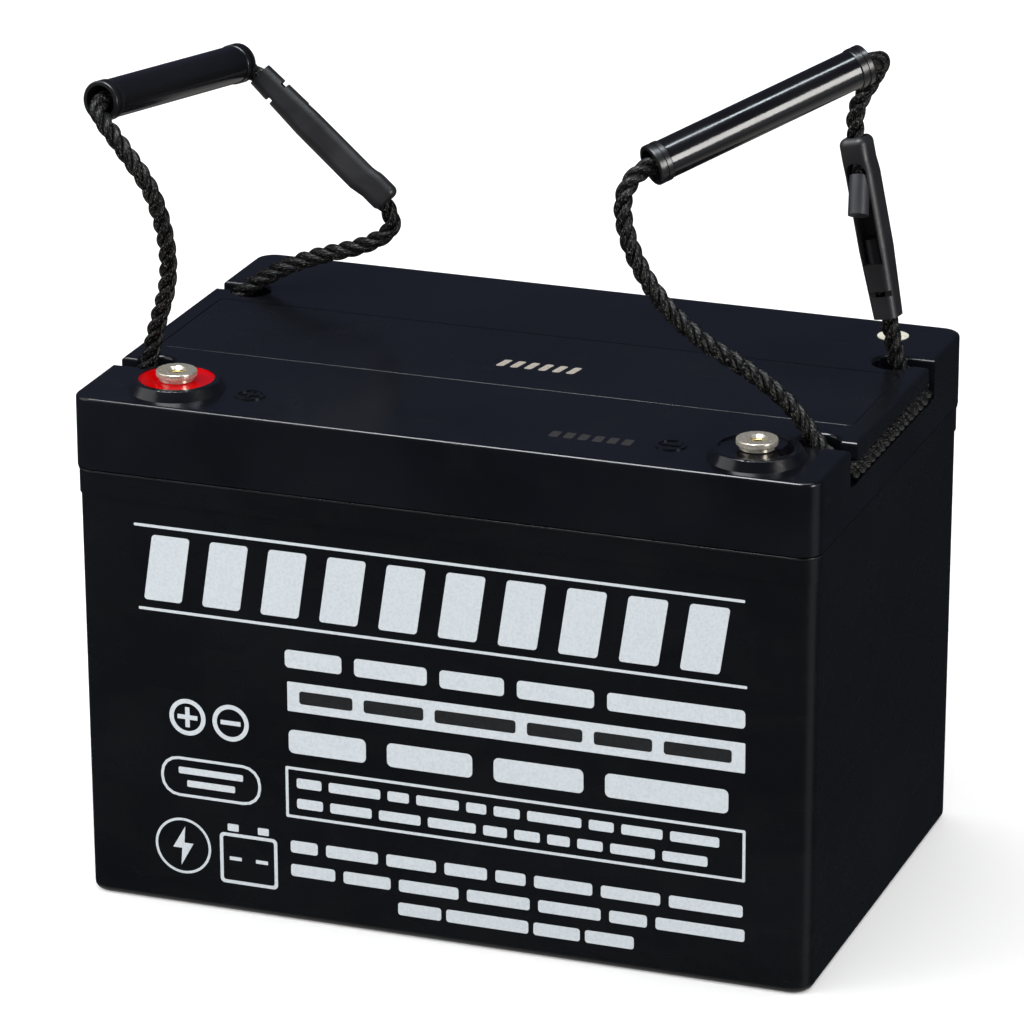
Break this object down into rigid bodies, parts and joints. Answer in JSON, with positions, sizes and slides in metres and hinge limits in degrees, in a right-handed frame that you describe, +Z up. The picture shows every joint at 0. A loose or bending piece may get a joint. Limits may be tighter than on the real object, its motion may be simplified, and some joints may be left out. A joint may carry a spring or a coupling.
{
  "type": "deep cycle battery",
  "caption": "Sealed rectangular battery with a flat lid, raised threaded terminals and a rope carrying handle with a sliding tube grip and a rope clip at each end",
  "frame": {"origin": "centre of the resting face, on the bottom of the case", "axes": "+Z up, +X to the right along the long side with the negative terminal, -Y to the printed front"},
  "size_m": [0.2751, 0.1686, 0.2921],
  "materials": {
    "case_plastic": "semi-gloss black moulded shell",
    "lid_plastic": "glossy black with fine scuffs",
    "cover_plastic": "glossy black with fine scuffs",
    "dot_paper": "plain cream sticker",
    "valve_rubber": "soft black rubber",
    "positive_lead": "brown active paste on lead grid",
    "negative_lead": "grey active paste on lead grid",
    "glass_mat": "white glass fibre mat",
    "lead": "dull cast lead",
    "terminal_nickel": "bright plated metal, brassy in the thread",
    "potting_red": "glossy red resin",
    "potting_black": "glossy black resin",
    "rope": "black laid rope of three strands",
    "clip_plastic": "satin black moulded clip",
    "ferrule_metal": "dark grey sleeve on the rope end",
    "grip_plastic": "glossy black tube",
    "ring_plastic": "glossy black end ring"
  },
  "bodies": {
    "battery": {"case": "case_plastic", "lid": "lid_plastic", "vent_cover": "cover_plastic", "inspection_dot": "dot_paper", "valve_cap_1": "valve_rubber", "valve_cap_2": "valve_rubber", "valve_cap_3": "valve_rubber", "valve_cap_4": "valve_rubber", "valve_cap_5": "valve_rubber", "valve_cap_6": "valve_rubber", "positive_plates_1": "positive_lead", "negative_plates_1": "negative_lead", "separators_1": "glass_mat", "positive_plates_2": "positive_lead", "negative_plates_2": "negative_lead", "separators_2": "glass_mat", "positive_plates_3": "positive_lead", "negative_plates_3": "negative_lead", "separators_3": "glass_mat", "positive_plates_4": "positive_lead", "negative_plates_4": "negative_lead", "separators_4": "glass_mat", "positive_plates_5": "positive_lead", "negative_plates_5": "negative_lead", "separators_5": "glass_mat", "positive_plates_6": "positive_lead", "negative_plates_6": "negative_lead", "separators_6": "glass_mat", "cell_weld_1": "lead", "cell_weld_2": "lead", "cell_weld_3": "lead", "cell_weld_4": "lead", "cell_weld_5": "lead", "positive_terminal_insert": "terminal_nickel", "positive_terminal_potting": "potting_red", "positive_terminal_post": "lead", "positive_terminal_seal": "valve_rubber", "negative_terminal_insert": "terminal_nickel", "negative_terminal_potting": "potting_black", "negative_terminal_post": "lead", "negative_terminal_seal": "valve_rubber"},
    "left_handle": {"left_handle_rope": "rope", "left_handle_rope_clip": "clip_plastic", "left_handle_ferrule_low": "ferrule_metal", "left_handle_ferrule_high": "ferrule_metal"},
    "right_handle": {"right_handle_rope": "rope", "right_handle_rope_clip": "clip_plastic", "right_handle_ferrule_low": "ferrule_metal", "right_handle_ferrule_high": "ferrule_metal"},
    "left_grip": {"left_handle_grip_tube": "grip_plastic", "left_handle_grip_ring_front": "ring_plastic", "left_handle_grip_ring_rear": "ring_plastic"},
    "right_grip": {"right_handle_grip_tube": "grip_plastic", "right_handle_grip_ring_front": "ring_plastic", "right_handle_grip_ring_rear": "ring_plastic"}
  },
  "joints": [
    {"name": "left_handle_swing", "type": "hinge", "parent": "battery", "child": "left_handle", "pos_m": [-0.1286, 0, 0.1693], "axis": [0, -1, 0], "range_deg": [-2, 125]},
    {"name": "right_handle_swing", "type": "hinge", "parent": "battery", "child": "right_handle", "pos_m": [0.1286, 0, 0.1693], "axis": [0, 1, 0], "range_deg": [-4, 125]},
    {"name": "left_grip_turn", "type": "hinge", "parent": "left_handle", "child": "left_grip", "pos_m": [-0.1367, -0.038, 0.2673], "axis": [0.1909, 0.9783, -0.0811], "continuous": true},
    {"name": "right_grip_turn", "type": "hinge", "parent": "right_handle", "child": "right_grip", "pos_m": [0.055, -0.03, 0.262], "axis": [0.6402, 0.7153, 0.2802], "continuous": true}
  ]
}
